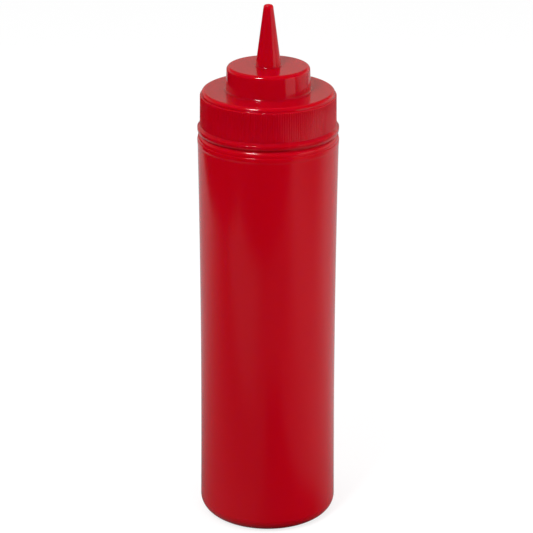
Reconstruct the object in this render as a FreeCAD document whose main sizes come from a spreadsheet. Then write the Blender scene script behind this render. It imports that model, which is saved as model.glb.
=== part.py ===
"""Wide-mouth squeeze bottle: a bottle and its screw-on dispensing cap, millimetres, +Z up.

The origin is the centre of the foot that the bottle stands on. Both pieces are turned about Z.
The cap seats on the bottle's neck: its deck rests on the neck's rim, its skirt hangs round the
neck with a small clearance, and its lower edge stops just over the bottle's shoulder.
"""
import FreeCAD, Part
import os
import Sketcher

# Alias, size in millimetres (counts are plain numbers), and what it is.
SIZES = (
    ("body_radius", 34.15, "radius at the shoulder ring, the widest place"),
    ("heel_inset", 0.15, "how far the wall's lower end stands inside the ring"),
    ("heel_round", 6.7, "rounding of the heel"),
    ("foot_width", 2.65, "width of the flat ring that the bottle stands on"),
    ("dish_slope", 4.3, "width of the slope inside the foot"),
    ("dish_rise", 2.6, "height of the pushed-up base"),
    ("dish_round", 0.8, "rounding between foot and slope"),
    ("dish_hollow", 1.6, "hollow rounding round the pushed-up base's flat middle"),
    ("waist_depth", 0.87, "how far the wall's waist stands inside the ring"),
    ("waist_height", 100.0, "height of the waist"),
    ("wall_height", 193.6, "height at which the wall meets the shoulder ring"),
    ("wall_inset", 0.08, "how far the wall's upper end stands inside the ring"),
    ("ring_height", 2.8, "height of the shoulder ring"),
    ("ring_rise", 0.5, "height over which the wall swells out to the ring"),
    ("ring_round", 0.3, "rounding of the ring's upper edge"),
    ("step_inset", 0.35, "how far the step above stands inside the ring"),
    ("step_height", 1.9, "height of that step"),
    ("step_round", 0.45, "rounding of the step's upper edge"),
    ("ledge_inset", 1.0, "how far the ledge under the cap stands inside the step"),
    ("ledge_height", 1.6, "height of that ledge"),
    ("ledge_hollow", 0.2, "hollow rounding at the foot of the ledge"),
    ("neck_inset", 2.5, "how far the neck stands inside the ledge"),
    ("neck_height", 18.3, "height of the neck above the ledge"),
    ("neck_bevel", 0.6, "bevel of the neck's rim"),
    ("neck_clearance", 0.3, "gap all round between neck and cap"),
    ("edge_gap", 0.3, "gap between the ledge and the cap's lower edge"),
    ("skirt_wall", 2.05, "thickness of the cap's skirt at its upper end"),
    ("skirt_draft", 0.2, "how much wider the skirt's radius is at the bead"),
    ("deck_thickness", 2.2, "thickness of the cap's deck"),
    ("deck_inset", 0.7, "how far the deck's side stands inside the ribbed band"),
    ("deck_round", 1.6, "rounding of the deck's edge"),
    ("bead_height", 2.9, "height of the bead round the skirt's lower edge"),
    ("bead_middle", 1.6, "height of the bead's widest line above that edge"),
    ("bead_bulge", 1.28, "how far the bead stands out from the skirt"),
    ("bead_foot", 0.2, "how far the bead's lower edge stands out from the skirt"),
    ("bead_hollow", 0.6, "hollow rounding where the bead runs into the skirt"),
    ("lead_in", 0.6, "bevel inside the skirt's lower edge"),
    ("rib_count", 180, "number of grip grooves round the skirt"),
    ("rib_depth", 0.3, "depth of a grip groove at its upper end"),
    ("rib_width", 1.0, "width of a grip groove at the skirt's foot"),
    ("rib_top", 2.2, "depth of the grooves' upper ends below the deck"),
    ("rib_margin", 0.5, "plain band between the bead and the grooves' lower ends"),
    ("hub_radius", 20.4, "radius of the hub at the deck"),
    ("hub_taper", 0.5, "how much smaller the hub's radius is at its top"),
    ("hub_height", 11.8, "height of the hub above the deck"),
    ("hub_round", 1.75, "rounding of the hub's upper edge"),
    ("hub_hollow", 0.9, "hollow rounding at the foot of the hub"),
    ("nozzle_radius", 6.1, "radius of the nozzle at the hub"),
    ("nozzle_height", 29.65, "height of the nozzle above the hub"),
    ("nozzle_hollow", 0.6, "hollow rounding at the foot of the nozzle"),
    ("tip_wall", 1.3, "thickness of the nozzle's wall at its tip"),
    ("tip_round", 1.2, "rounding of the tip"),
    ("hole_radius", 0.9, "radius of the outlet at the tip"),
    ("hole_draft", 0.6, "how much wider the outlet's radius is at its inner end"),
    ("hole_depth", 14.0, "depth of the outlet"),
)


def size(alias):
    return "Sizes." + alias


def total(*terms):
    return " + ".join(terms)


def less(first, *others):
    return " - ".join((first,) + tuple("(%s)" % term for term in others))


def at_most(wanted, share, wall):
    """A rounding's size, held to a share of the wall that it is cut in."""
    return "min(%s; %s * %s)" % (size(wanted), share, size(wall))


AXIS = "0"
TOLERANCE = 1e-4

# Radii and heights worked out from the sheet, as expressions on it.
HEEL_RADIUS = less(size("body_radius"), size("heel_inset"))
WAIST_RADIUS = less(size("body_radius"), size("waist_depth"))
WALL_RADIUS = less(size("body_radius"), size("wall_inset"))
STEP_RADIUS = less(size("body_radius"), size("step_inset"))
LEDGE_RADIUS = less(STEP_RADIUS, size("ledge_inset"))
NECK_RADIUS = less(LEDGE_RADIUS, size("neck_inset"))
DISH_RADIUS = less(HEEL_RADIUS, size("heel_round"), size("foot_width"))
DISH_FLOOR_RADIUS = less(DISH_RADIUS, size("dish_slope"))
RING_TOP = total(size("wall_height"), size("ring_height"))
STEP_TOP = total(RING_TOP, size("step_height"))
LEDGE_TOP = total(STEP_TOP, size("ledge_height"))
NECK_TOP = total(LEDGE_TOP, size("neck_height"))

SOCKET_RADIUS = total(NECK_RADIUS, size("neck_clearance"))
SKIRT_RADIUS = total(SOCKET_RADIUS, size("skirt_wall"))
DECK_RADIUS = less(SKIRT_RADIUS, size("deck_inset"))
SKIRT_FOOT_RADIUS = total(SKIRT_RADIUS, size("skirt_draft"))
BEAD_RADIUS = total(SKIRT_FOOT_RADIUS, size("bead_bulge"))
BEAD_FOOT_RADIUS = total(SKIRT_FOOT_RADIUS, size("bead_foot"))
RIB_ROOT_RADIUS = less(SKIRT_RADIUS, size("rib_depth"))
HUB_TOP_RADIUS = less(size("hub_radius"), size("hub_taper"))
TIP_RADIUS = total(size("hole_radius"), size("tip_wall"))
HOLE_FLOOR_RADIUS = total(size("hole_radius"), size("hole_draft"))
CAP_EDGE = total(LEDGE_TOP, size("edge_gap"))
BEAD_MIDDLE = total(CAP_EDGE, size("bead_middle"))
BEAD_TOP = total(CAP_EDGE, size("bead_height"))
DECK_TOP = total(NECK_TOP, size("deck_thickness"))
RIB_TOP = less(DECK_TOP, size("rib_top"))
RIB_LENGTH = less(RIB_TOP, total(BEAD_TOP, size("rib_margin")))
HUB_TOP = total(DECK_TOP, size("hub_height"))
NOZZLE_TOP = total(HUB_TOP, size("nozzle_height"))
HOLE_FLOOR = less(NOZZLE_TOP, size("hole_depth"))


def make_sheet(doc):
    sheet = doc.addObject("Spreadsheet::Sheet", "Sizes")
    for row, (alias, number, meaning) in enumerate(SIZES, start=1):
        sheet.set("A%d" % row, meaning)
        sheet.set("B%d" % row, str(number))
        sheet.setAlias("B%d" % row, alias)
    doc.recompute()


def number(owner, expression):
    return float(owner.evalExpression(expression))


def origin_part(body, role):
    return next(part for part in body.Origin.OriginFeatures if part.Role == role)


def new_body(doc, label):
    body = doc.addObject("PartDesign::Body", label)
    body.Label = label
    body.Placement = FreeCAD.Placement()
    return body


def new_sketch(body, name, plane):
    sketch = body.newObject("Sketcher::SketchObject", name)
    sketch.AttachmentSupport = (origin_part(body, plane), [""])
    sketch.MapMode = "FlatFace"
    return sketch


def bind(sketch, kind, where, name, expression):
    """Add a distance from the origin and tie it to the sheet."""
    index = sketch.addConstraint(Sketcher.Constraint(kind, *where, number(sketch, expression)))
    sketch.renameConstraint(index, name)
    sketch.setExpression("Constraints." + name, expression)


def place_point(sketch, geometry, end, name, across, up):
    """Fix one point of a sketch at two expressions."""
    if across == AXIS:
        sketch.addConstraint(Sketcher.Constraint("PointOnObject", geometry, end, -2))
    else:
        bind(sketch, "DistanceX", (-1, 1, geometry, end), name + "_across", across)
    bind(sketch, "DistanceY", (-1, 1, geometry, end), name + "_up", up)


def half_section(body, name, corners, arcs=None):
    """Draw a closed outline in the XZ plane, for turning about Z.

    A corner is (name, radius, height). An arc runs from the named corner to the next one,
    through its own (radius, height).
    """
    arcs = arcs or {}
    sketch = new_sketch(body, name, "XZ_Plane")
    points = [FreeCAD.Vector(number(sketch, x), number(sketch, z), 0) for _, x, z in corners]
    starts = []
    ends = []
    for index, (label, _, _) in enumerate(corners):
        start = points[index]
        stop = points[(index + 1) % len(points)]
        if label in arcs:
            middle = FreeCAD.Vector(*(number(sketch, term) for term in arcs[label]), 0)
            edge = sketch.addGeometry(Part.Arc(start, middle, stop), False)
            backwards = sketch.getPoint(edge, 1).distanceToPoint(start) > TOLERANCE
        else:
            edge = sketch.addGeometry(Part.LineSegment(start, stop), False)
            backwards = False
        starts.append((edge, 2 if backwards else 1))
        ends.append((edge, 1 if backwards else 2))
    for index, (label, across, up) in enumerate(corners):
        sketch.addConstraint(Sketcher.Constraint("Coincident", *ends[index - 1], *starts[index]))
        place_point(sketch, *starts[index], label, across, up)
    for label, (across, up) in arcs.items():
        edge = starts[[corner[0] for corner in corners].index(label)][0]
        middle = FreeCAD.Vector(number(sketch, across), number(sketch, up), 0)
        point = sketch.addGeometry(Part.Point(middle), True)
        sketch.addConstraint(Sketcher.Constraint("PointOnObject", point, 1, edge))
        place_point(sketch, point, 1, label + "_through", across, up)
    return sketch


def turn(body, kind, name, sketch):
    """Revolve an outline a full turn about Z, to add (Revolution) or to cut (Groove)."""
    before = body.Shape.Volume if body.Tip else 0
    feature = body.newObject("PartDesign::" + kind, name)
    feature.Profile = sketch
    feature.ReferenceAxis = (sketch, ["V_Axis"])
    feature.Angle = 360
    body.Document.recompute()
    changed = body.Shape.Volume - before
    if (changed > 0) != (kind == "Revolution"):
        raise RuntimeError("%s changed the volume by %.3f" % (name, changed))
    return feature


def edges_at(body, radius, height):
    """Names of the body's circular edges with this radius and height."""
    names = []
    for index, edge in enumerate(body.Shape.Edges, start=1):
        if not isinstance(edge.Curve, Part.Circle):
            continue
        same_radius = abs(edge.Curve.Radius - radius) < TOLERANCE
        same_height = abs(edge.Curve.Center.z - height) < TOLERANCE
        if same_radius and same_height:
            names.append("Edge%d" % index)
    return names


def dress(body, kind, name, dimension, radius, height):
    """Fillet or bevel the circular edge at this radius and height."""
    edges = edges_at(body, number(body, radius), number(body, height))
    if not edges:
        raise RuntimeError("%s has no edge to work on" % name)
    base = body.Tip
    feature = body.newObject("PartDesign::" + kind, name)
    feature.Base = (base, edges)
    feature.setExpression("Radius" if kind == "Fillet" else "Size", dimension)
    body.Document.recompute()


def make_bottle(doc):
    """The blown bottle: foot and dished base, heel, waisted wall, shoulder, ledge and neck."""
    body = new_body(doc, "bottle")
    outline = half_section(body, "bottle_outline", (
        ("dish_middle", AXIS, size("dish_rise")),
        ("dish_floor", DISH_FLOOR_RADIUS, size("dish_rise")),
        ("dish_edge", DISH_RADIUS, AXIS),
        ("heel", HEEL_RADIUS, AXIS),
        ("wall", WALL_RADIUS, size("wall_height")),
        ("ring_foot", size("body_radius"), total(size("wall_height"), size("ring_rise"))),
        ("ring", size("body_radius"), RING_TOP),
        ("step_foot", STEP_RADIUS, RING_TOP),
        ("step", STEP_RADIUS, STEP_TOP),
        ("ledge_foot", LEDGE_RADIUS, STEP_TOP),
        ("ledge", LEDGE_RADIUS, LEDGE_TOP),
        ("neck_foot", NECK_RADIUS, LEDGE_TOP),
        ("neck", NECK_RADIUS, NECK_TOP),
        ("rim", AXIS, NECK_TOP),
    ), arcs={
        "heel": (WAIST_RADIUS, size("waist_height")),
    })
    turn(body, "Revolution", "bottle_turned", outline)
    dress(body, "Fillet", "heel_edge", size("heel_round"), HEEL_RADIUS, AXIS)
    dress(body, "Fillet", "dish_edge", size("dish_round"), DISH_RADIUS, AXIS)
    dress(body, "Fillet", "dish_floor_edge", size("dish_hollow"), DISH_FLOOR_RADIUS, size("dish_rise"))
    dress(body, "Fillet", "ring_edge", at_most("ring_round", 0.9, "step_inset"),
          size("body_radius"), RING_TOP)
    dress(body, "Fillet", "step_edge", at_most("step_round", 0.65, "ledge_inset"),
          STEP_RADIUS, STEP_TOP)
    dress(body, "Fillet", "ledge_foot_edge", at_most("ledge_hollow", 0.3, "ledge_inset"),
          LEDGE_RADIUS, STEP_TOP)
    dress(body, "Chamfer", "neck_rim_edge", size("neck_bevel"), NECK_RADIUS, NECK_TOP)
    return body


def make_cap(doc):
    """The moulded cap: ribbed skirt with a bead, deck, hub, and nozzle with an open tip."""
    body = new_body(doc, "cap")
    outline = half_section(body, "cap_outline", (
        ("edge_middle", AXIS, CAP_EDGE),
        ("edge", BEAD_FOOT_RADIUS, CAP_EDGE),
        ("bead_top", SKIRT_FOOT_RADIUS, BEAD_TOP),
        ("ribs_top", SKIRT_RADIUS, RIB_TOP),
        ("deck_foot", DECK_RADIUS, RIB_TOP),
        ("deck", DECK_RADIUS, DECK_TOP),
        ("hub_foot", size("hub_radius"), DECK_TOP),
        ("hub", HUB_TOP_RADIUS, HUB_TOP),
        ("nozzle_foot", size("nozzle_radius"), HUB_TOP),
        ("nozzle", TIP_RADIUS, NOZZLE_TOP),
        ("tip_middle", AXIS, NOZZLE_TOP),
    ), arcs={
        "edge": (BEAD_RADIUS, BEAD_MIDDLE),
    })
    turn(body, "Revolution", "cap_turned", outline)
    socket = half_section(body, "socket_outline", (
        ("socket_mouth_middle", AXIS, CAP_EDGE),
        ("socket_mouth", SOCKET_RADIUS, CAP_EDGE),
        ("socket_floor", SOCKET_RADIUS, NECK_TOP),
        ("socket_floor_middle", AXIS, NECK_TOP),
    ))
    turn(body, "Groove", "socket_turned", socket)
    outlet = half_section(body, "outlet_outline", (
        ("outlet_mouth_middle", AXIS, NOZZLE_TOP),
        ("outlet_mouth", size("hole_radius"), NOZZLE_TOP),
        ("outlet_floor", HOLE_FLOOR_RADIUS, HOLE_FLOOR),
        ("outlet_floor_middle", AXIS, HOLE_FLOOR),
    ))
    turn(body, "Groove", "outlet_turned", outlet)
    dress(body, "Chamfer", "socket_mouth_edge", size("lead_in"), SOCKET_RADIUS, CAP_EDGE)
    dress(body, "Fillet", "bead_top_edge", size("bead_hollow"), SKIRT_FOOT_RADIUS, BEAD_TOP)
    dress(body, "Fillet", "deck_edge", at_most("deck_round", 0.9, "rib_top"), DECK_RADIUS, DECK_TOP)
    dress(body, "Fillet", "hub_foot_edge", size("hub_hollow"), size("hub_radius"), DECK_TOP)
    dress(body, "Fillet", "hub_edge", size("hub_round"), HUB_TOP_RADIUS, HUB_TOP)
    dress(body, "Fillet", "nozzle_foot_edge", size("nozzle_hollow"), size("nozzle_radius"), HUB_TOP)
    dress(body, "Fillet", "tip_edge", at_most("tip_round", 0.93, "tip_wall"), TIP_RADIUS, NOZZLE_TOP)
    cut_grip_grooves(body)
    return body


def cut_grip_grooves(body):
    """Cut one upright V-shaped groove in the skirt and repeat it all the way round."""
    sketch = new_sketch(body, "grip_groove_outline", "XY_Plane")
    sketch.setExpression("AttachmentOffset.Base.z", RIB_TOP)
    outside = total(SKIRT_FOOT_RADIUS, size("rib_depth"))
    half_width = size("rib_width") + " / 2"
    corners = (
        ("root", RIB_ROOT_RADIUS, AXIS),
        ("right", SKIRT_FOOT_RADIUS, half_width),
        ("right_outside", outside, half_width),
        ("left_outside", outside, "0 - " + half_width),
        ("left", SKIRT_FOOT_RADIUS, "0 - " + half_width),
    )
    points = [FreeCAD.Vector(number(body, x), number(body, y), 0) for _, x, y in corners]
    for index in range(len(points)):
        sketch.addGeometry(Part.LineSegment(points[index - 1], points[index]), False)
    for index, (label, across, up) in enumerate(corners):
        following = (index + 1) % len(corners)
        sketch.addConstraint(Sketcher.Constraint("Coincident", index, 2, following, 1))
        bind(sketch, "DistanceX", (-1, 1, index, 2), label + "_across", across)
        if up == AXIS:
            sketch.addConstraint(Sketcher.Constraint("PointOnObject", index, 2, -1))
        else:
            bind(sketch, "DistanceY", (-1, 1, index, 2), label + "_up", up)
    body.Document.recompute()
    before = body.Shape.Volume
    groove = body.newObject("PartDesign::Pocket", "grip_groove")
    groove.Profile = sketch
    groove.setExpression("Length", RIB_LENGTH)
    body.Document.recompute()
    if body.Shape.Volume >= before:
        raise RuntimeError("the grip groove cut nothing")
    pattern = body.newObject("PartDesign::PolarPattern", "grip_grooves")
    pattern.Originals = [groove]
    pattern.Axis = (origin_part(body, "Z_Axis"), [""])
    pattern.Angle = 360
    pattern.setExpression("Occurrences", size("rib_count"))
    body.Tip = pattern
    body.Document.recompute()


def check(doc):
    """Stop if any object of the document failed or any piece is not one sound solid."""
    for thing in doc.Objects:
        if "Invalid" in thing.State or "Error" in thing.State:
            raise RuntimeError("%s failed: %s" % (thing.Name, thing.State))


def export(bodies):
    os.makedirs("parts", exist_ok=True)
    for body in bodies:
        shape = body.Shape
        if shape.isNull() or not shape.isValid():
            raise RuntimeError("%s has no valid shape" % body.Label)
        shape.exportStep("parts/%s.step" % body.Label)
        print("%-8s %9.0f mm3 %5d faces" % (body.Label, shape.Volume, len(shape.Faces)))


document = FreeCAD.newDocument("squeeze_bottle")
make_sheet(document)
pieces = (make_bottle(document), make_cap(document))
document.recompute()
check(document)
export(pieces)
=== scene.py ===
# %% [markdown]
# # A squeeze bottle with a ribbed screw cap
# The real object is two plastic pieces, both round about one upright axis: a blown bottle in
# satin red, and a glossy moulded cap with a bead, a band of fine ribs, a deck, a hub and a long
# nozzle. Both could be sculpted, or put together from primitives, but a turned outline is how
# they are drawn in a workshop. So each piece starts as half a cross-section, gets its corners
# rounded and is spun about the axis, and the finishes follow.

# %% Load the frame
import math
import bmesh
import bpy
from mathutils import Matrix, Vector


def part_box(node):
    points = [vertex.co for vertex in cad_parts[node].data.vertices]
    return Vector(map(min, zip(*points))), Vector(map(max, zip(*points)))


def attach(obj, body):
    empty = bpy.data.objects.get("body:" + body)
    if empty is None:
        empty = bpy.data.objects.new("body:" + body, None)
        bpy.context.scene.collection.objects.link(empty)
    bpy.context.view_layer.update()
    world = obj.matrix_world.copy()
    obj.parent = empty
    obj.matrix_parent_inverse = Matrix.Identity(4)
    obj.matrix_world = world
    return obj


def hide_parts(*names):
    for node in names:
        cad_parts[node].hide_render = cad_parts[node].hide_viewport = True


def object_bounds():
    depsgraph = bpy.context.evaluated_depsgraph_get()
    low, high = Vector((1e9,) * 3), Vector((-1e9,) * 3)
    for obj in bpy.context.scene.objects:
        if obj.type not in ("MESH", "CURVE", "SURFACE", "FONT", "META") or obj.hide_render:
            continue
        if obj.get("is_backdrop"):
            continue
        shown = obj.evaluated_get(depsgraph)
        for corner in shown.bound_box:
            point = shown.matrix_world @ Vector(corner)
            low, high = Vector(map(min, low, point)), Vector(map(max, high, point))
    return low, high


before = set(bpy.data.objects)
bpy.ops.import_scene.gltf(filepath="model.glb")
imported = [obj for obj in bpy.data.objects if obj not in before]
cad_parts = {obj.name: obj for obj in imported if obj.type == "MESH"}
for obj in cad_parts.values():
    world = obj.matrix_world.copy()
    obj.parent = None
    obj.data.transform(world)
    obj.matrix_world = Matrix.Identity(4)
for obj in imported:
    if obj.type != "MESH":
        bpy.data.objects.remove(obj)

CAD_BOX = [list(corner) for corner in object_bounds()]
print("solid model: %.1f mm across, %.1f mm tall" % tuple(
    1000 * (CAD_BOX[1][axis] - CAD_BOX[0][axis]) for axis in (0, 2)))

# %% [markdown]
# ## Measures that the two pieces share
# The engineering model already says how wide the bottle is and how high the neck, the cap's
# edge and the nozzle's tip stand, so those are read from it instead of typed again. Blender
# works in metres and a bottle is drawn in millimetres, so one small helper turns them over.

# %% Read the heights where the pieces meet
def mm(value):
    """Millimetres as metres."""
    return value / 1000


bottle_low, bottle_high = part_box("bottle")
cap_low, cap_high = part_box("cap")
BODY_RADIUS = (bottle_high[0] - bottle_low[0]) / 2
NECK_TOP = bottle_high[2]
CAP_EDGE = cap_low[2]
TIP_TOP = cap_high[2]
print("body radius %.2f mm, neck top %.2f mm" % (BODY_RADIUS / mm(1), NECK_TOP / mm(1)))
print("cap from %.2f to %.2f mm" % (CAP_EDGE / mm(1), TIP_TOP / mm(1)))

# %% [markdown]
# ## An outline that can be turned
# A turned piece is fixed by its corners, as pairs of radius and height. They could be a curve
# object, but one flat face is handier: a face can be bevelled at its vertices, which rounds
# each corner with its own radius. A bevel is measured along the edges, so the radius is turned
# into that distance from the angle by which the outline bends at the corner.

# %% Draw an outline
def draw_outline(corners):
    """A flat face in the XZ plane from a dictionary of (radius, height) corners."""
    bm = bmesh.new()
    verts = {name: bm.verts.new((radius, 0, height)) for name, (radius, height) in corners.items()}
    bm.faces.new(verts.values())
    return bm, verts


def bend_at(vert):
    """Angle by which the outline turns at a corner."""
    first, second = (edge.other_vert(vert).co - vert.co for edge in vert.link_edges)
    return math.pi - first.angle(second)


test, square = draw_outline({"a": (0, 0), "b": (1, 0), "c": (1, 1), "d": (0, 1)})
print("a square outline bends by %.0f degrees" % math.degrees(bend_at(square["b"])))

# %% [markdown]
# ## Rounds of a true radius
# Hardly any edge on a moulded piece is sharp, and each round catches its own line of light. A
# bevel modifier over the finished solid would give all of them one width. Rounding the corners
# before the outline is turned gives every edge the radius that it has in the mould.

# %% Round its corners
def round_corner(bm, vert, radius, segments=8):
    """Replace a corner with an arc of this radius."""
    offset = radius * math.tan(bend_at(vert) / 2)
    bmesh.ops.bevel(bm, geom=[vert], offset=offset, offset_type="OFFSET", affect="VERTICES",
                    segments=segments, profile=0.5, material=-1, clamp_overlap=True)


def round_corners(bm, corners, rounds):
    """Round several named corners: each has a radius in millimetres and its segments."""
    for name, (radius, segments) in rounds.items():
        round_corner(bm, corners[name], mm(radius), segments)
    print("outline: %d corners rounded, %d points" % (len(rounds), len(bm.verts)))


round_corner(test, square["b"], 0.2)
print("a square with one round corner has %d points" % len(test.verts))
test.free()

# %% [markdown]
# ## Long shallow curves
# The wall draws in gently to a waist, and one step of the shoulder swells a little. A spline
# would need handles to be balanced by eye. Both are true arcs between two corners, so one
# helper divides the straight edge and moves the new points out to the circle that stands a
# given height above the chord.

# %% Bow an edge into an arc
def point_at(bm, radius, height):
    """The outline's point nearest to a place, because dividing an edge renews the points."""
    return min(bm.verts, key=lambda vert: (vert.co - Vector((radius, 0, height))).length)


def edge_between(first, second):
    return next(edge for edge in first.link_edges if edge.other_vert(first) is second)


def bow_edge(bm, first, second, rise, cuts):
    """Bow the edge between two corners outwards by rise, or inwards if it is negative."""
    start = first.co.copy()
    chord = second.co - first.co
    half = chord.length / 2
    outward = Vector((chord.z, 0, -chord.x)).normalized()
    if outward.x < 0:
        outward.negate()
    radius = (half * half + rise * rise) / (2 * abs(rise))
    sweep = 2 * math.asin(min(1.0, half / radius))
    side = math.copysign(1.0, rise)
    centre = start + chord / 2 + outward * side * (abs(rise) - radius)
    made = bmesh.ops.subdivide_edges(bm, edges=[edge_between(first, second)], cuts=cuts)
    inner = [item for item in made["geom_inner"] if isinstance(item, bmesh.types.BMVert)]
    inner.sort(key=lambda vert: (vert.co - start).length)
    along = chord.normalized()
    for index, vert in enumerate(inner, start=1):
        angle = sweep * (index / (cuts + 1) - 0.5)
        vert.co = centre + (along * math.sin(angle) + outward * side * math.cos(angle)) * radius
    print("arc of radius %.1f mm over %.0f degrees" % (radius / mm(1), math.degrees(sweep)))


test, square = draw_outline({"a": (0, 0), "b": (mm(9), 0), "c": (mm(9), mm(9)), "d": (0, mm(9))})
bow_edge(test, square["b"], square["c"], mm(1), 7)
test.free()

# %% [markdown]
# ## Strips beside the rounds
# Smooth shading bends the light across a whole flat face if its neighbour is a round. Weighted
# normals would mend that in Blender only, so the outline itself gets a narrow strip where a
# long straight edge runs into an arc, and the flat stays flat wherever the mesh goes.

# %% Add the strips
STRIP = mm(0.25)
SMOOTH = math.radians(1)
SHARP = math.radians(32)


def add_strips(bm):
    """Split the long edges of an outline close to where they run into a round."""
    before = len(bm.verts)
    for edge in [edge for edge in bm.edges if edge.calc_length() > 6 * STRIP]:
        for vert in edge.verts[:]:
            if SMOOTH < bend_at(vert) < SHARP:
                rest = max(vert.link_edges, key=lambda link: link.calc_length())
                bmesh.utils.edge_split(rest, vert, STRIP / rest.calc_length())
    print("%d strips" % (len(bm.verts) - before))


print("strips %.2f mm wide" % (STRIP / mm(1)))

# %% [markdown]
# ## Turning
# The face goes, and so does its edge on the axis, which leaves an open line from pole to pole.
# One spin through a full turn would do, but its time grows with the square of the steps, and
# the ribs need many. So a narrow wedge is spun first, then copies of the wedge are spun round
# the axis, and the seams are welded.

# %% Turn an outline into a solid
WEDGES = 15


def turn_outline(bm, steps):
    """Spin an outline about Z into a closed surface, as one wedge and its copies."""
    add_strips(bm)
    bmesh.ops.delete(bm, geom=bm.faces[:], context="FACES_ONLY")
    on_axis = [edge for edge in bm.edges if all(abs(vert.co.x) < mm(0.01) for vert in edge.verts)]
    bmesh.ops.delete(bm, geom=on_axis, context="EDGES")
    bmesh.ops.spin(bm, geom=bm.verts[:] + bm.edges[:], cent=(0, 0, 0), axis=(0, 0, 1),
                   angle=2 * math.pi / WEDGES, steps=steps)
    bmesh.ops.spin(bm, geom=bm.verts[:] + bm.edges[:] + bm.faces[:], cent=(0, 0, 0),
                   axis=(0, 0, 1), angle=2 * math.pi, steps=WEDGES, use_duplicate=True)
    bmesh.ops.remove_doubles(bm, verts=bm.verts[:], dist=mm(0.001))
    bmesh.ops.recalc_face_normals(bm, faces=bm.faces[:])
    print("turned in %d steps" % (WEDGES * steps))


print("%d wedges of %.0f degrees" % (WEDGES, 360 / WEDGES))

# %% [markdown]
# ## From a mesh to a piece
# The turned mesh becomes an object at the origin that rides with the CAD body and stands in for
# its node. Faces are shaded smooth and only the real corners are marked sharp, which reads
# better on a turned piece than an angle that is worked out again in each view.

# %% Finish a piece
def finish_piece(bm, name, material, node):
    """Make the mesh an object that stands for a CAD node and rides with it."""
    for face in bm.faces:
        face.smooth = True
    for edge in bm.edges:
        if edge.is_manifold and edge.calc_face_angle() > SHARP:
            edge.smooth = False
    mesh = bpy.data.meshes.new(name)
    bm.to_mesh(mesh)
    triangles = sum(len(face.verts) - 2 for face in bm.faces)
    open_edges = sum(not edge.is_manifold for edge in bm.edges)
    bm.free()
    mesh.materials.append(material)
    piece = bpy.data.objects.new(name, mesh)
    bpy.context.collection.objects.link(piece)
    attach(piece, "root")
    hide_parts(node)
    print("%s: %d triangles, %d open edges" % (name, triangles, open_edges))
    return piece


print("edges that bend by more than %.0f degrees stay sharp" % math.degrees(SHARP))

# %% [markdown]
# ## Wiring a finish
# Every finish below is a node tree. Drawn in the editor each link is a drag of the mouse, and
# in a script each would be two lines. Short calls for a node, a sum, a soft step and a cloud of
# noise keep the recipe of a finish readable.

# %% Short calls for node trees
class Wiring:
    """A node tree that starts empty."""

    def __init__(self, owner):
        owner.use_nodes = True
        self.tree = owner.node_tree
        self.tree.nodes.clear()

    def node(self, kind, **settings):
        node = self.tree.nodes.new("ShaderNode" + kind)
        for name, value in settings.items():
            setattr(node, name, value)
        return node

    def link(self, source, target):
        self.tree.links.new(source, target)

    def fill(self, node, terms):
        """Give a node its inputs in order, as numbers or as other nodes' outputs."""
        for socket, term in zip(node.inputs, terms):
            if isinstance(term, (int, float)):
                socket.default_value = term
            else:
                self.link(term, socket)
        return node.outputs[0]

    def math(self, operation, *terms):
        return self.fill(self.node("Math", operation=operation), terms)

    def product(self, first, *others):
        for other in others:
            first = self.math("MULTIPLY", first, other)
        return first

    def total(self, first, *others):
        for other in others:
            first = self.math("ADD", first, other)
        return first

    def ramp(self, value, low, high, to_low=0.0, to_high=1.0):
        """A soft step from one value to another."""
        return self.fill(self.node("MapRange", interpolation_type="SMOOTHSTEP"),
                         (value, low, high, to_low, to_high))

    def axes(self, source):
        """The X, Y and Z outputs of a place."""
        split = self.node("SeparateXYZ")
        self.link(source, split.inputs[0])
        return split.outputs

    def cloud(self, place, size, stretch=1.0, detail=2.0):
        """Noise from 0 to 1 whose lumps are about this size, or longer up the axis."""
        mapping = self.node("Mapping")
        self.link(place, mapping.inputs["Vector"])
        mapping.inputs["Scale"].default_value = (1 / size, 1 / size, 1 / (size * stretch))
        noise = self.node("TexNoise")
        self.link(mapping.outputs[0], noise.inputs["Vector"])
        noise.inputs["Scale"].default_value = 1.0
        noise.inputs["Detail"].default_value = detail
        return noise.outputs["Fac"]


print("wiring calls:", ", ".join(name for name in vars(Wiring) if name[0] != "_"))

# %% [markdown]
# ## What the plastic is
# Both pieces are coloured right through in one strong red, as squeeze bottles are, so wear
# doesn't show another colour, only a duller and slightly paler one. The red scatters a little
# light under its surface, which is why narrow gaps glow instead of going black. The two differ
# in gloss: a blown wall is satin, a moulded cap is polished.

# %% Mix the red
BOTTLE_RED = (0.48, 0.0005, 0.008)
CAP_RED = (0.41, 0.0005, 0.008)
SCUFFED = (0.50, 0.010, 0.018)


def red_plastic(wires, place, red, wear, cloudiness):
    """Base colour: the red in slightly uneven batches, paler where it is worn."""
    lighter = wires.node("Mix", data_type="RGBA")
    wires.link(wires.cloud(place, mm(22), detail=3), lighter.inputs["Factor"])
    lighter.inputs["A"].default_value = (*(band * (1 - cloudiness) for band in red), 1)
    lighter.inputs["B"].default_value = (*(band * (1 + cloudiness) for band in red), 1)
    worn = wires.node("Mix", data_type="RGBA")
    wires.link(wear, worn.inputs["Factor"])
    wires.link(lighter.outputs["Result"], worn.inputs["A"])
    worn.inputs["B"].default_value = (*SCUFFED, 1)
    return worn.outputs["Result"]


print("bottle:", BOTTLE_RED, "cap:", CAP_RED, "scuffed:", SCUFFED)

# %% [markdown]
# ## The shader that both finishes use
# One shader carries the colour, the gloss and the relief. Relief this fine would need millions
# of faces, so it is a bump, and its height is in metres with a distance of 1, which keeps every
# lump at its real depth. Numbers that are the same all over sit on the shader's own sockets.

# %% Join colour, gloss and relief
SUBSURFACE = 0.9
GLOW_DEPTH = mm(6)


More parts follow.
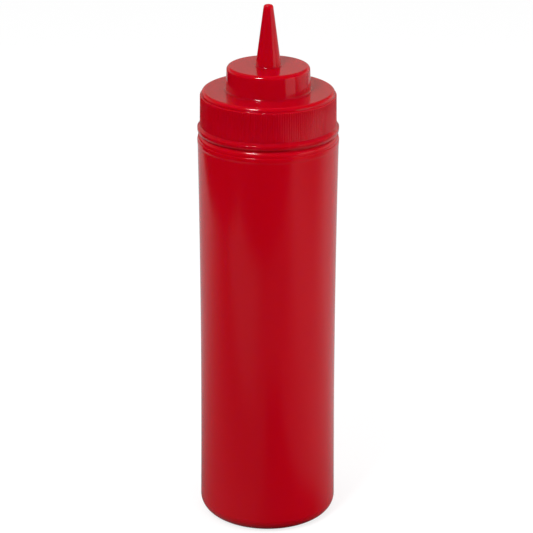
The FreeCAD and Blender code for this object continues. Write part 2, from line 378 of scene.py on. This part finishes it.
def plastic_shader(wires, colour, roughness, relief):
    bump = wires.node("Bump")
    bump.inputs["Strength"].default_value = 1.0
    bump.inputs["Distance"].default_value = 1.0
    wires.link(relief, bump.inputs["Height"])
    shader = wires.node("BsdfPrincipled")
    wires.link(colour, shader.inputs["Base Color"])
    wires.link(roughness, shader.inputs["Roughness"])
    wires.link(bump.outputs["Normal"], shader.inputs["Normal"])
    shader.inputs["IOR"].default_value = 1.5
    shader.inputs["Subsurface Weight"].default_value = SUBSURFACE
    shader.inputs["Subsurface Radius"].default_value = (1.0, 0.06, 0.06)
    shader.inputs["Subsurface Scale"].default_value = GLOW_DEPTH
    output = wires.node("OutputMaterial")
    wires.link(shader.outputs[0], output.inputs["Surface"])


print("light goes %.0f mm deep in the red" % (GLOW_DEPTH / mm(1)))

# %% [markdown]
# ## The satin of the blown bottle
# Blowing presses soft plastic against a mould, which leaves faint upright drag lines and a soft
# peel like an orange's. Where the mould's halves met there is a fine parting line up both sides,
# and under the base it widens into the weld where the tube was pinched off. Handling dulls the
# heel first. All of it follows the object's own coordinates, so no unwrapping is needed.

# %% Make the bottle's finish
BOTTLE_GLOSS = 0.11


def make_bottle_finish():
    material = bpy.data.materials.new("satin_blown_red")
    wires = Wiring(material)
    place = wires.node("TexCoord").outputs["Object"]
    x, y, z = wires.axes(place)
    scuffs = wires.ramp(wires.cloud(place, mm(3), detail=4), 0.52, 0.66)
    heel_wear = wires.product(scuffs, wires.ramp(z, mm(5.5), mm(1.5)), 0.6)
    rubs = wires.ramp(wires.cloud(place, mm(9), stretch=3, detail=4), 0.60, 0.78)
    wear = wires.total(heel_wear, wires.product(rubs, 0.06))
    drag = wires.product(wires.cloud(place, mm(1.4), stretch=60), mm(0.0016))
    peel = wires.product(wires.cloud(place, mm(2.2)), mm(0.0035))
    off_seam = wires.math("ABSOLUTE", y)
    line = wires.product(wires.ramp(off_seam, mm(0.16), mm(0.04)), mm(0.02))
    weld = wires.product(wires.ramp(off_seam, mm(0.9), mm(0.25)), wires.ramp(z, mm(3.2), mm(2.5)),
                         wires.ramp(wires.math("ABSOLUTE", x), mm(19.0), mm(17.5)), mm(0.15))
    roughness = wires.total(BOTTLE_GLOSS, wires.product(wires.cloud(place, mm(14)), 0.03),
                            wires.product(wear, 0.25))
    plastic_shader(wires, red_plastic(wires, place, BOTTLE_RED, wear, 0.03), roughness,
                   wires.total(drag, peel, line, weld))
    return material


bottle_finish = make_bottle_finish()
print(bottle_finish.name, len(bottle_finish.node_tree.nodes), "nodes")

# %% [markdown]
# ## The gloss of the moulded cap
# Injection copies a polished steel mould, so the cap is shinier and its peel is finer. Fingers
# turn it by the ribs and the bead, and the tip is wiped, so the bead and the tip carry the
# scuffs. The band of ribs is a little duller, as a mould can hardly be polished there. A painted
# mask would need an unwrap, and height alone is enough to find all these places.

# %% Make the cap's finish
CAP_GLOSS = 0.09
RIB_DULLING = 0.03


def make_cap_finish():
    material = bpy.data.materials.new("gloss_moulded_red")
    wires = Wiring(material)
    place = wires.node("TexCoord").outputs["Object"]
    z = wires.axes(place)[2]
    scuffs = wires.ramp(wires.cloud(place, mm(2.4), detail=4), 0.56, 0.70)
    handled = wires.total(wires.ramp(z, CAP_EDGE + mm(4), CAP_EDGE + mm(2), 0.0, 0.35),
                          wires.ramp(z, TIP_TOP - mm(3), TIP_TOP - mm(1), 0.0, 0.6))
    wear = wires.total(wires.product(scuffs, handled), wires.product(scuffs, 0.04))
    peel = wires.product(wires.cloud(place, mm(1.6)), mm(0.0014))
    flow = wires.product(wires.cloud(place, mm(7)), mm(0.004))
    ribbed = wires.product(wires.ramp(z, CAP_EDGE + mm(3), CAP_EDGE + mm(4.2)),
                           wires.ramp(z, NECK_TOP + mm(0.2), NECK_TOP - mm(0.6)), RIB_DULLING)
    roughness = wires.total(CAP_GLOSS, wires.product(wires.cloud(place, mm(8)), 0.02),
                            wires.product(wear, 0.2), ribbed)
    plastic_shader(wires, red_plastic(wires, place, CAP_RED, wear, 0.02), roughness,
                   wires.total(peel, flow))
    return material


cap_finish = make_cap_finish()
print(cap_finish.name, len(cap_finish.node_tree.nodes), "nodes")

# %% [markdown]
# ## The bottle's base and wall
# The bottle stands on a narrow ring, and inside it the base is pushed up so that it can't rock.
# Outside, a generous heel leads into a wall that draws in by less than a millimetre to its
# waist, which is where the hand squeezes. The base, the heel and the wall are one outline with
# the shoulder, because a blown bottle has no joins.

# %% Size the base and the wall
FOOT_WIDTH = mm(2.65)
HEEL_INSET = mm(0.15)
HEEL_ROUND = 6.7
DISH_SLOPE = mm(4.3)
DISH_RISE = mm(2.6)
WALL_TOP = mm(193.6)
WALL_INSET = mm(0.15)
WALL_DRAW = mm(0.62)
dish_radius = BODY_RADIUS - HEEL_INSET - mm(HEEL_ROUND) - FOOT_WIDTH
base_corners = {
    "dish_middle": (0, DISH_RISE),
    "dish_floor": (dish_radius - DISH_SLOPE, DISH_RISE),
    "dish_edge": (dish_radius, 0),
    "heel": (BODY_RADIUS - HEEL_INSET, 0),
    "wall": (BODY_RADIUS - WALL_INSET, WALL_TOP + mm(0.1)),
}
print("foot ring %.2f to %.2f mm" % (dish_radius / mm(1), (dish_radius + FOOT_WIDTH) / mm(1)))

# %% [markdown]
# ## The shoulder and the neck
# A low ring ends the wall, then the shoulder goes in by two small steps to the neck. The steps
# sit just under the cap, so they catch a light line each, and their small rounds matter more
# than their sizes. Under the cap the neck stays plain: its thread can't be seen or measured.

# %% Size the shoulder and the neck
RING_RADIUS = BODY_RADIUS - mm(0.02)
STEP_RADIUS = BODY_RADIUS - mm(0.25)
LEDGE_RADIUS = STEP_RADIUS - mm(1.0)
NECK_RADIUS = BODY_RADIUS - mm(3.85)
RING_TOP = WALL_TOP + mm(2.9)
STEP_TOP = RING_TOP + mm(2.9)
STEP_BULGE = mm(0.3)
LEDGE_TOP = CAP_EDGE - mm(0.08)
shoulder_corners = {
    "ring_foot": (RING_RADIUS, WALL_TOP + mm(0.9)),
    "ring": (RING_RADIUS, RING_TOP),
    "step_foot": (STEP_RADIUS, RING_TOP),
    "step_low": (STEP_RADIUS, RING_TOP + mm(0.7)),
    "step_high": (LEDGE_RADIUS, STEP_TOP),
    "ledge": (LEDGE_RADIUS, LEDGE_TOP),
    "neck_foot": (NECK_RADIUS, LEDGE_TOP),
    "neck": (NECK_RADIUS, NECK_TOP),
    "rim_middle": (0, NECK_TOP),
}
print("shoulder from %.1f to %.1f mm" % (WALL_TOP / mm(1), LEDGE_TOP / mm(1)))

# %% [markdown]
# ## The bottle, turned
# A blown bottle is hollow, but the red lets no light through, so only its outside is turned.
# Corners are rounded first, because bowing an edge renews its points. The waist is one long arc
# from the end of the heel's round, and the step under the ledge is bowed outwards, as blown
# shoulders are.

# %% Turn the bottle
BOTTLE_STEPS = 24
WAIST_CUTS = 63
SWELL_CUTS = 11


def make_bottle():
    bm, corner = draw_outline({**base_corners, **shoulder_corners})
    round_corners(bm, corner, {
        "heel": (HEEL_ROUND, 16), "dish_edge": (0.8, 8), "dish_floor": (1.6, 8),
        "ring": (0.22, 5), "neck": (0.6, 4)})
    below = [vert for vert in bm.verts if vert.co.z < WALL_TOP / 2]
    heel_end = max(below, key=lambda vert: vert.co.z)
    bow_edge(bm, heel_end, corner["wall"], -WALL_DRAW, WAIST_CUTS)
    step_ends = [point_at(bm, *shoulder_corners[name]) for name in ("step_low", "step_high")]
    bow_edge(bm, *step_ends, STEP_BULGE, SWELL_CUTS)
    turn_outline(bm, BOTTLE_STEPS)
    return finish_piece(bm, "bottle_wall", bottle_finish, "bottle")


bottle = make_bottle()

# %% [markdown]
# ## The cap's skirt
# The skirt screws down over the neck and ends in a bead just above the shoulder. It leans out
# by a fifth of a millimetre towards the bead, so that it leaves its mould. The bead is three flats
# with rounded corners, which catch one clean line of light each. A full half circle would blur
# them into one. Above the ribs a small ledge leads up to the deck.

# %% Size the skirt
SOCKET_RADIUS = NECK_RADIUS + mm(0.3)
SKIRT_RADIUS = SOCKET_RADIUS + mm(2.1)
SKIRT_DRAFT = mm(0.2)
SKIRT_FOOT = SKIRT_RADIUS + SKIRT_DRAFT
BEAD_RADIUS = SKIRT_FOOT + mm(1.18)
BEAD_TOP = CAP_EDGE + mm(3.5)
DECK_RADIUS = SKIRT_RADIUS - mm(0.7)
DECK_TOP = NECK_TOP + mm(2.2)
skirt_corners = {
    "floor_middle": (0, NECK_TOP),
    "socket_floor": (SOCKET_RADIUS, NECK_TOP),
    "socket_mouth": (SOCKET_RADIUS, CAP_EDGE),
    "bead_foot": (SKIRT_FOOT + mm(1.0), CAP_EDGE),
    "bead_under": (BEAD_RADIUS, CAP_EDGE + mm(0.9)),
    "bead_nose": (BEAD_RADIUS, CAP_EDGE + mm(2.2)),
    "bead_top": (SKIRT_FOOT - mm(0.02), BEAD_TOP),
    "rib_foot": (SKIRT_FOOT - mm(0.022), BEAD_TOP + mm(0.1)),
    "rib_deep": (SKIRT_FOOT - mm(0.025), BEAD_TOP + mm(0.4)),
    "ribs_top": (SKIRT_RADIUS, NECK_TOP),
    "deck_foot": (DECK_RADIUS, NECK_TOP),
    "deck": (DECK_RADIUS, DECK_TOP),
}
print("skirt %.1f mm tall, %.1f mm across its ribs" % ((NECK_TOP - CAP_EDGE) / mm(1),
                                                      2 * SKIRT_RADIUS / mm(1)))

# %% [markdown]
# ## The hub and the nozzle
# The hub is a low drum in the middle of the deck, slightly narrower at its top, and the nozzle
# is a long straight cone with a small hole. All three meet in hollow rounds, which moulders add
# because a sharp inner corner would crack, and the outer edges are softened for the hand.

# %% Size the hub and the nozzle
HUB_RADIUS = mm(20.4)
HUB_TAPER = mm(0.5)
HUB_TOP = DECK_TOP + mm(11.8)
NOZZLE_RADIUS = mm(6.1)
TIP_RADIUS = mm(2.2)
HOLE_RADIUS = mm(0.9)
HOLE_DEPTH = mm(14)
nozzle_corners = {
    "hub_foot": (HUB_RADIUS, DECK_TOP),
    "hub": (HUB_RADIUS - HUB_TAPER, HUB_TOP),
    "nozzle_foot": (NOZZLE_RADIUS, HUB_TOP),
    "tip": (TIP_RADIUS, TIP_TOP),
    "hole": (HOLE_RADIUS, TIP_TOP),
    "hole_floor": (HOLE_RADIUS + mm(0.6), TIP_TOP - HOLE_DEPTH),
    "hole_middle": (0, TIP_TOP - HOLE_DEPTH),
}
print("nozzle %.1f mm tall" % ((TIP_TOP - HUB_TOP) / mm(1)))

# %% [markdown]
# ## The ribs
# Fine upright ribs run all round the skirt for grip. Cutting 180 grooves with booleans would
# leave slivers. The ribs are less than a fifth of a millimetre deep, so the turned skirt's own
# points are drawn in and out in a soft wave instead, and six points to each rib keep it round.

# %% Press the ribs
RIB_COUNT = 180
RIB_STEPS = 6
RIB_DEPTH = mm(0.16)


def press_ribs(bm):
    """Draw the skirt's points in by a wave, between the bead and the ledge."""
    pressed = 0
    for vert in bm.verts:
        radius = math.hypot(vert.co.x, vert.co.y)
        if radius > SKIRT_RADIUS - mm(0.35) and BEAD_TOP + mm(0.2) < vert.co.z < NECK_TOP + mm(0.01):
            wave = (1 - math.cos(math.atan2(vert.co.y, vert.co.x) * RIB_COUNT)) / 2
            shrink = 1 - RIB_DEPTH * wave / radius
            vert.co.x *= shrink
            vert.co.y *= shrink
            pressed += 1
    print("%d ribs, %d points pressed" % (RIB_COUNT, pressed))


# %% [markdown]
# ## The cap, turned
# The cap comes out of its mould as one solid, so the skirt's and the nozzle's corners make one
# outline. The hub and the nozzle could be separate cones set on the deck, but then the hollow
# rounds between them would be missing. The ribs are pressed last, into the turned skirt.

# %% Turn the cap
def make_cap():
    bm, corner = draw_outline({**skirt_corners, **nozzle_corners})
    round_corners(bm, corner, {
        "bead_foot": (0.25, 3), "bead_under": (0.5, 5), "bead_nose": (0.2, 4), "ribs_top": (0.3, 4),
        "deck_foot": (0.25, 3), "deck": (1.6, 10), "hub_foot": (0.9, 6), "hub": (1.75, 9),
        "nozzle_foot": (0.6, 5), "tip": (1.2, 8), "hole": (0.15, 3)})
    turn_outline(bm, RIB_COUNT * RIB_STEPS // WEDGES)
    press_ribs(bm)
    return finish_piece(bm, "cap_shell", cap_finish, "cap")


cap = make_cap()

# %% [markdown]
# ## A painted table for the plastic to mirror
# A glossy bottle is mostly a picture of the room around it. The floor is a plain pale sheet for
# the camera, and a bare white room would wash the red out. So the floor shows the plastic
# something else: a painted reflection of a studio table, an emission with a painted pool of
# light that is brighter behind and to the right, a painted shadow of the bottle just in front of
# it, and dark beyond its front and left edges. Light Path's Is Camera Ray tells the two apart.

# %% Lay out the mirrored table
TABLE_FRONT = (-0.415, -0.388)
TABLE_LEFT = (-0.48, -0.45)
TABLE_RIGHT = (0.66, 0.56)
TABLE_BRIGHTEST = 0.53


def slanted(wires, first, slope, second):
    """A place measured along a line that leans from one axis towards the other."""
    return wires.math("MULTIPLY_ADD", first, slope, second)


def table_edges(wires, across, back):
    """1 on the table and 0 beyond its front and left edges, and dimmer far to the right."""
    front = wires.ramp(slanted(wires, across, 0.19, back), *TABLE_FRONT)
    in_front = wires.math("MINIMUM", back, 0.0)
    left = wires.ramp(slanted(wires, in_front, 0.3, across), *TABLE_LEFT)
    right = wires.ramp(across, *TABLE_RIGHT, 0.3, 1.0)
    return wires.product(front, left, right)


def painted_table_light(wires, across, back):
    """Painted light and shade of the table top as the plastic sees it: a painted pool of light and a
    painted shadow of the bottle.
    """
    # painted pool of light on the table top: brighter towards the back, a band to the right, a patch
    # in front on the left
    glow = wires.ramp(back, -0.12, 0.24, 0.09, 0.48)
    side = wires.product(wires.ramp(slanted(wires, back, 0.6, across), -0.05, 0.17, 0.0, 0.17),
                         wires.ramp(across, 0.58, 0.36, 0.3, 1.0))
    sheen = wires.product(wires.ramp(across, -0.02, -0.15, 0.0, 0.12),
                          wires.ramp(back, -0.12, -0.22))
    bright = wires.math("MINIMUM", wires.total(glow, side, sheen), TABLE_BRIGHTEST)
    # painted shadow of the bottle: a dark strip on the table just in front of it
    off_middle = wires.math("ABSOLUTE", wires.math("SUBTRACT", across, 0.03))
    shadow = wires.product(wires.ramp(off_middle, 0.06, 0.015, 0.0, 0.85),
                           wires.ramp(back, -0.26, -0.17), wires.ramp(back, 0.0, -0.035))
    lit = wires.math("SUBTRACT", 1, shadow)
    return wires.product(bright, lit, table_edges(wires, across, back))


print("brightest part of the mirrored table:", TABLE_BRIGHTEST)

# %% [markdown]
# ## The floor itself
# For the camera the floor is white paper that runs out of sight. A white that is lit by lamps
# alone is never even, so the paper carries most of its brightness itself, and a diffuse share
# on top of that catches the bottle's faint shadow and seats it on the ground.

# %% Make the floor
FLOOR_RADIUS = 8
PAPER = 0.28
PAPER_LIFT = 0.73


def make_floor_finish():
    material = bpy.data.materials.new("floor_paper")
    wires = Wiring(material)
    across, back, _ = wires.axes(wires.node("TexCoord").outputs["Object"])
    to_camera = wires.node("LightPath").outputs["Is Camera Ray"]
    paper = wires.node("BsdfDiffuse")
    paper.inputs["Color"].default_value = (PAPER, PAPER, PAPER, 1)
    lift = wires.node("Emission")
    lift.inputs["Strength"].default_value = PAPER_LIFT
    shown = wires.node("AddShader")
    wires.link(paper.outputs[0], shown.inputs[0])
    wires.link(lift.outputs[0], shown.inputs[1])
    # emission for every ray but the camera's: the painted table light, a painted reflection
    mirrored = wires.node("Emission")
    wires.link(painted_table_light(wires, across, back), mirrored.inputs["Strength"])
    choose = wires.node("MixShader")
    wires.link(to_camera, choose.inputs[0])
    wires.link(mirrored.outputs[0], choose.inputs[1])
    wires.link(shown.outputs[0], choose.inputs[2])
    output = wires.node("OutputMaterial")
    wires.link(choose.outputs[0], output.inputs["Surface"])
    return material


floor_outline = bmesh.new()
bmesh.ops.create_circle(floor_outline, cap_ends=True, segments=96, radius=FLOOR_RADIUS)
floor_mesh = bpy.data.meshes.new("floor")
floor_outline.to_mesh(floor_mesh)
floor_outline.free()
floor_mesh.materials.append(make_floor_finish())
floor = bpy.data.objects.new("floor", floor_mesh)
bpy.context.collection.objects.link(floor)
floor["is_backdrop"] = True
print("floor %.0f m across, %d nodes" % (floor.dimensions.x,
                                         len(floor.active_material.node_tree.nodes)))

# %% [markdown]
# ## The room
# A squeeze bottle is usually shown in a white room. An HDR picture of one would bring its own
# windows into the gloss, so the room is worked out from the ray's direction. The camera and the
# soft light see plain white. The gloss sees a warm grey wall that glows behind the table, and
# hardly anything in front, so that the red stays deep.

# %% Light the room
WORLD_SOFT = 1.0
BACKDROP = 0.33
OVERHEAD = 0.10


def make_studio():
    world = bpy.data.worlds.new("studio")
    bpy.context.scene.world = world
    wires = Wiring(world)
    world.cycles.sampling_method = "NONE"
    path = wires.node("LightPath")
    _, back, up = wires.axes(wires.node("TexCoord").outputs["Generated"])
    backdrop = wires.product(wires.ramp(back, -0.1, 0.6), wires.ramp(up, 0.42, 0.30), BACKDROP)
    overhead = wires.ramp(back, -0.2, 0.7, 0.0, OVERHEAD)
    mirrored = wires.node("Background")
    mirrored.inputs["Color"].default_value = (1.0, 0.96, 0.87, 1)
    wires.link(wires.total(backdrop, overhead, 0.01), mirrored.inputs["Strength"])
    soft = wires.node("Background")
    soft.inputs["Strength"].default_value = WORLD_SOFT
    choose = wires.node("MixShader")
    wires.link(path.outputs["Is Glossy Ray"], choose.inputs[0])
    wires.link(soft.outputs[0], choose.inputs[1])
    wires.link(mirrored.outputs[0], choose.inputs[2])
    output = wires.node("OutputWorld")
    wires.link(choose.outputs[0], output.inputs["Surface"])
    return world


studio = make_studio()
print(studio.name, len(studio.node_tree.nodes), "nodes")

# %% [markdown]
# ## The lamps
# The key is one small softbox high in front and to the left: its mirror image is the bright
# spot on the shoulder, the deck's edge and the hub's edge. A sun lamp would be too hard for a
# satin wall. The fills round off the sides and stay out of the mirror image, and the two cards
# do the reverse, as they put a broad sheen into the gloss and light nothing.

# %% Hang the lamps
def make_softbox(name, bearing, distance, height, width, tall, radiance, aim=0.12,
                 in_gloss=True, as_light=True):
    """An area lamp at a bearing from the front, a distance and a height, aimed at the bottle."""
    lamp = bpy.data.lights.new(name, "AREA")
    lamp.shape = "RECTANGLE"
    lamp.size = width
    lamp.size_y = tall
    lamp.energy = radiance * math.pi * width * tall
    angle = math.radians(bearing)
    place = Vector((distance * math.sin(angle), -distance * math.cos(angle), height))
    holder = bpy.data.objects.new(name, lamp)
    holder.location = place
    holder.rotation_euler = (Vector((0, 0, aim)) - place).to_track_quat("-Z", "Y").to_euler()
    holder.visible_glossy = in_gloss
    holder.visible_diffuse = as_light
    bpy.context.collection.objects.link(holder)
    return holder


make_softbox("key_softbox", bearing=-31, distance=0.903, height=1.085,
             width=0.30, tall=0.30, radiance=31, aim=0.15)
make_softbox("side_softbox", bearing=78, distance=0.92, height=0.38,
             width=0.75, tall=0.95, radiance=1.75, aim=0.15, in_gloss=False)
make_softbox("front_card", bearing=62, distance=0.6, height=0.215,
             width=0.33, tall=0.28, radiance=0.6, aim=0.20, as_light=False)
make_softbox("rear_card", bearing=114, distance=0.6, height=0.215,
             width=0.78, tall=0.28, radiance=0.3, aim=0.20, as_light=False)
make_softbox("front_fill", bearing=22, distance=0.62, height=0.52,
             width=0.45, tall=0.45, radiance=1.1, aim=0.18, in_gloss=False)
make_softbox("low_fill", bearing=5, distance=0.6, height=0.03,
             width=0.6, tall=0.12, radiance=1.5, aim=0.20, in_gloss=False)
make_softbox("left_fill", bearing=-100, distance=0.9, height=0.12,
             width=0.7, tall=0.4, radiance=2.5, in_gloss=False)
make_softbox("right_fill", bearing=95, distance=0.9, height=0.12,
             width=0.7, tall=0.4, radiance=1.9, in_gloss=False)

# %% [markdown]
# ## The camera
# The bottle is seen from about a metre through a long lens, tilted down so that the deck and
# the hub's top open into narrow ellipses. A wide lens up close would fit as well, but it makes
# the nozzle lean and the base shrink, so the distance matters as much as the field of view.

# %% Set up the camera
CAMERA_PLACE = Vector((-0.0007, -0.99573, 0.51302))
CAMERA_TILT = 68.95
CAMERA_ROLL = 0.1
CAMERA_LENS = 146.4
camera_data = bpy.data.cameras.new("camera")
camera_data.sensor_width = 36
camera_data.lens = CAMERA_LENS
camera_data.clip_end = 50
camera = bpy.data.objects.new("camera", camera_data)
bpy.context.collection.objects.link(camera)
camera.matrix_world = (Matrix.Translation(CAMERA_PLACE)
                       @ Matrix.Rotation(math.radians(CAMERA_TILT), 4, "X")
                       @ Matrix.Rotation(math.radians(CAMERA_ROLL), 4, "Z"))
bpy.context.scene.camera = camera
bpy.context.scene.view_settings.view_transform = "Standard"
print("camera %.2f m away, looking down %.2f degrees" % (CAMERA_PLACE.length, 90 - CAMERA_TILT))

# %% [markdown]
# ## Do the looks still fit the solid model?
# Rounds and bows can push a surface out of place without any warning. Laying the box of the
# visible meshes over the solid model's box is the quickest test: the two should agree within a
# tenth of a millimetre.

# %% Compare the two boxes
VISUAL_BOX = [list(corner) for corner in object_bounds()]
print("checked:", bottle.name, "and", cap.name)
for cad_corner, visual_corner in zip(CAD_BOX, VISUAL_BOX):
    print("off by", ["%.2f mm" % ((seen - solid) / mm(1))
                     for seen, solid in zip(visual_corner, cad_corner)])
